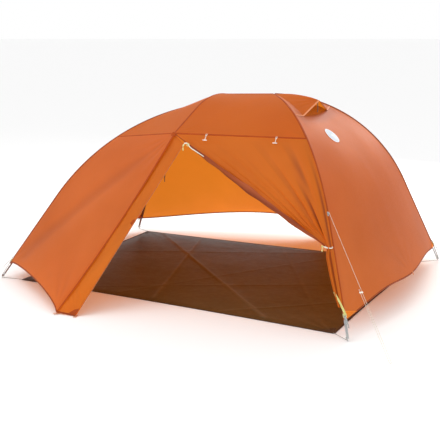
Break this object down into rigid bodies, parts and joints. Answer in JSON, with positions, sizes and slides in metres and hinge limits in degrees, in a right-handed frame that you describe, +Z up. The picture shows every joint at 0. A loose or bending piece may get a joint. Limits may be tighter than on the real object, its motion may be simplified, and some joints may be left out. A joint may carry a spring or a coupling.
{
  "type": "backpacking tent",
  "caption": "Free-standing dome tent pitched as fly, hubbed pole frame and ground sheet, with one vestibule door tied open and a propped vent.",
  "frame": {"origin": "on the ground, under the middle of the ground sheet", "axes": "+X from the foot end to the head end, -Y towards the side whose door is open, +Z up"},
  "size_m": [2.8973, 2.6728, 1.265],
  "materials": {
    "pole_aluminium": "satin anodised",
    "tip_plastic": "moulded",
    "hub_plastic": "moulded",
    "fly_fabric": "coated ripstop",
    "footprint_fabric": "coated ripstop",
    "strap_webbing": "woven webbing",
    "adjuster_plastic": "moulded",
    "cord": "braided",
    "zip_plastic": "moulded",
    "white_plastic": "moulded",
    "dark_plastic": "moulded"
  },
  "bodies": {
    "tent": {"brow_end_caps": "hub_plastic", "brow_ferrules": "pole_aluminium", "brow_pole_far": "pole_aluminium", "brow_pole_middle": "pole_aluminium", "brow_pole_near": "pole_aluminium", "brow_swivel": "hub_plastic", "corner_straps": "strap_webbing", "door_flap": "fly_fabric", "door_tie": "strap_webbing", "fly_foot_panel": "fly_fabric", "fly_head_panel": "fly_fabric", "fly_roof_foot": "fly_fabric", "fly_roof_head": "fly_fabric", "footprint": "footprint_fabric", "footprint_cords": "cord", "guy_loops": "strap_webbing", "guyline": "cord", "guyline_knot": "cord", "hub_foot": "hub_plastic", "hub_head": "hub_plastic", "leg_far_foot_lower": "pole_aluminium", "leg_far_foot_middle": "pole_aluminium", "leg_far_foot_upper": "pole_aluminium", "leg_far_head_lower": "pole_aluminium", "leg_far_head_middle": "pole_aluminium", "leg_far_head_upper": "pole_aluminium", "leg_ferrules": "pole_aluminium", "leg_near_foot_lower": "pole_aluminium", "leg_near_foot_middle": "pole_aluminium", "leg_near_foot_upper": "pole_aluminium", "leg_near_head_lower": "pole_aluminium", "leg_near_head_middle": "pole_aluminium", "leg_near_head_upper": "pole_aluminium", "pole_tip_far_foot": "tip_plastic", "pole_tip_far_head": "tip_plastic", "pole_tip_near_foot": "tip_plastic", "pole_tip_near_head": "tip_plastic", "ridge_pole": "pole_aluminium", "shock_cords": "cord", "stake_tabs": "strap_webbing", "storm_flap": "fly_fabric", "toggle_loops": "strap_webbing", "vent_hood": "fly_fabric", "vent_strut_socket": "dark_plastic", "vestibule_far": "fly_fabric", "vestibule_near": "fly_fabric", "zip_coil": "zip_plastic"},
    "zip_slider": {"zip_slider": "zip_plastic"},
    "zip_pull": {"zip_pull": "zip_plastic"},
    "roof_toggle_foot": {"roof_toggle_foot": "white_plastic"},
    "roof_toggle_head": {"roof_toggle_head": "white_plastic"},
    "door_edge_toggle": {"door_edge_toggle": "dark_plastic"},
    "door_tie_toggle": {"door_tie_toggle": "zip_plastic"},
    "vent_strut": {"vent_strut": "dark_plastic"},
    "guyline_tensioner": {"guyline_tensioner": "white_plastic"},
    "adjuster_near_head": {"strap_adjuster_near_head": "adjuster_plastic"},
    "adjuster_far_head": {"strap_adjuster_far_head": "adjuster_plastic"},
    "adjuster_near_foot": {"strap_adjuster_near_foot": "adjuster_plastic"},
    "adjuster_far_foot": {"strap_adjuster_far_foot": "adjuster_plastic"}
  },
  "joints": [
    {"name": "zip_slide", "type": "slide", "parent": "tent", "child": "zip_slider", "axis": [-0.2941, -0.549, -0.7824], "range_m": [0, 1.15]},
    {"name": "zip_pull_swing", "type": "hinge", "parent": "zip_slider", "child": "zip_pull", "pos_m": [0.02381, -0.6372, 0.97021], "axis": [0.9515, -0.2458, -0.1851], "range_deg": [-70, 25]},
    {"name": "roof_toggle_foot_lift", "type": "hinge", "parent": "tent", "child": "roof_toggle_foot", "pos_m": [0.16324, -0.59036, 1.04206], "axis": [0.9866, 0.1629, 0.0012], "range_deg": [-80, 0]},
    {"name": "roof_toggle_head_lift", "type": "hinge", "parent": "tent", "child": "roof_toggle_head", "pos_m": [0.60477, -0.51744, 1.04259], "axis": [0.9866, 0.1629, 0.0012], "range_deg": [-80, 0]},
    {"name": "door_edge_toggle_swing", "type": "hinge", "parent": "tent", "child": "door_edge_toggle", "pos_m": [-0.062, -0.722, 0.787], "axis": [1, 0, 0], "range_deg": [-20, 60]},
    {"name": "door_tie_toggle_slide", "type": "slide", "parent": "tent", "child": "door_tie_toggle", "axis": [0, 0, 1], "range_m": [0, 0.018]},
    {"name": "vent_strut_fold", "type": "hinge", "parent": "tent", "child": "vent_strut", "pos_m": [0.665, 0, 1.2205], "axis": [0, 1, 0], "range_deg": [0, 80]},
    {"name": "guyline_tension", "type": "slide", "parent": "tent", "child": "guyline_tensioner", "axis": [0.5561, -0.4709, -0.6848], "range_m": [-0.008, 0.3]},
    {"name": "strap_adjust_near_head", "type": "slide", "parent": "tent", "child": "adjuster_near_head", "axis": [-0.2819, 0.3033, 0.9102], "range_m": [-0.02, 0.012]},
    {"name": "strap_adjust_far_head", "type": "slide", "parent": "tent", "child": "adjuster_far_head", "axis": [-0.2778, -0.3071, 0.9102], "range_m": [-0.02, 0.012]},
    {"name": "strap_adjust_near_foot", "type": "slide", "parent": "tent", "child": "adjuster_near_foot", "axis": [0.4256, 0.327, 0.8438], "range_m": [-0.02, 0.012]},
    {"name": "strap_adjust_far_foot", "type": "slide", "parent": "tent", "child": "adjuster_far_foot", "axis": [0.4151, -0.3402, 0.8438], "range_m": [-0.02, 0.012]}
  ]
}
